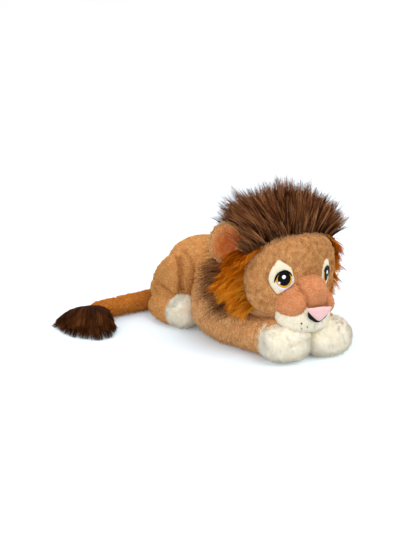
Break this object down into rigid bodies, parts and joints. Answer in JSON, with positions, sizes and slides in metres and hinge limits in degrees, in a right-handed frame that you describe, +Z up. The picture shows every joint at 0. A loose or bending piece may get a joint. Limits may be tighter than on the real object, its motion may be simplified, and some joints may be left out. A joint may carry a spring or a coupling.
{
  "type": "plush lion",
  "caption": "Lying soft toy lion with a long-haired mane, stuffed limbs and a tufted tail; its head, ears, legs and tail flex.",
  "frame": {"origin": "middle of the belly's flat resting face, on the floor", "axes": "+Z up, -Y towards the nose, +X towards the lion's left side"},
  "size_m": [0.3041, 0.3236, 0.2215],
  "materials": {
    "tan_plush": "short pile plush",
    "face_plush": "short mottled pile",
    "peach_plush": "very short pile",
    "cream_plush": "soft fluffy pile",
    "tail_plush": "short pile plush",
    "gold_pile": "long pile fur",
    "brown_pile": "long pile fur",
    "nose_cloth": "smooth knitted cloth",
    "black_felt": "felt",
    "eye_thread": "satin embroidery",
    "fibre_filling": "loose polyester fibre"
  },
  "bodies": {
    "torso": {"body_skin": "tan_plush", "body_filling": "fibre_filling"},
    "neck": {"neck_filling": "fibre_filling"},
    "head": {"forehead_panel": "face_plush", "cheek_right": "face_plush", "cheek_left": "face_plush", "head_back": "tan_plush", "head_filling": "fibre_filling", "muzzle_top": "peach_plush", "muzzle_lip": "cream_plush", "nose": "nose_cloth", "mouth_felt": "black_felt", "eye_patch_right": "cream_plush", "eye_patch_left": "cream_plush", "eye_right": "eye_thread", "eye_left": "eye_thread", "mane_crest": "brown_pile", "mane_ruff": "brown_pile", "mane_side_right": "gold_pile", "mane_side_left": "gold_pile"},
    "ear_right": {"ear_back_right": "tan_plush", "ear_lining_right": "peach_plush"},
    "ear_left": {"ear_back_left": "tan_plush", "ear_lining_left": "peach_plush"},
    "front_leg_right": {"front_leg_right": "tan_plush", "front_paw_right": "cream_plush", "front_leg_filling_right": "fibre_filling"},
    "front_leg_left": {"front_leg_left": "tan_plush", "front_paw_left": "cream_plush", "front_leg_filling_left": "fibre_filling"},
    "hind_leg_right": {"hind_leg_right": "tan_plush", "hind_foot_right": "cream_plush", "hind_leg_filling_right": "fibre_filling"},
    "hind_leg_left": {"hind_leg_left": "tan_plush", "hind_foot_left": "cream_plush", "hind_leg_filling_left": "fibre_filling"},
    "tail": {"tail_skin": "tail_plush", "tail_filling": "fibre_filling", "tail_tuft": "brown_pile"}
  },
  "joints": [
    {"name": "head_turn", "type": "hinge", "parent": "torso", "child": "neck", "pos_m": [0, -0.089, 0.094], "axis": [0, 0, 1], "range_deg": [-10, 10]},
    {"name": "head_nod", "type": "hinge", "parent": "neck", "child": "head", "pos_m": [0, -0.089, 0.094], "axis": [-1, 0, 0], "range_deg": [0, 12]},
    {"name": "ear_right_fold", "type": "hinge", "parent": "head", "child": "ear_right", "pos_m": [-0.06296, -0.115, 0.13163], "axis": [0.785, -0.6157, -0.0687], "range_deg": [-12, 12], "stiffness_Nm_per_rad": 0.02},
    {"name": "ear_left_fold", "type": "hinge", "parent": "head", "child": "ear_left", "pos_m": [0.06854, -0.115, 0.12013], "axis": [0.785, 0.6157, -0.0687], "range_deg": [-12, 12], "stiffness_Nm_per_rad": 0.02},
    {"name": "front_leg_right_swing", "type": "hinge", "parent": "torso", "child": "front_leg_right", "pos_m": [-0.046, -0.021, 0.03], "axis": [0, 0, -1], "range_deg": [0, 18]},
    {"name": "front_leg_left_swing", "type": "hinge", "parent": "torso", "child": "front_leg_left", "pos_m": [0.046, -0.021, 0.03], "axis": [0, 0, 1], "range_deg": [0, 18]},
    {"name": "hind_leg_right_swing", "type": "hinge", "parent": "torso", "child": "hind_leg_right", "pos_m": [-0.04, 0.059, 0.03], "axis": [0, 0, -1], "range_deg": [0, 16]},
    {"name": "hind_leg_left_swing", "type": "hinge", "parent": "torso", "child": "hind_leg_left", "pos_m": [0.04, 0.059, 0.03], "axis": [0, 0, 1], "range_deg": [0, 16]},
    {"name": "tail_swing", "type": "hinge", "parent": "torso", "child": "tail", "pos_m": [0, 0.077, 0.015], "axis": [0, 0, -1], "range_deg": [0, 70]}
  ]
}
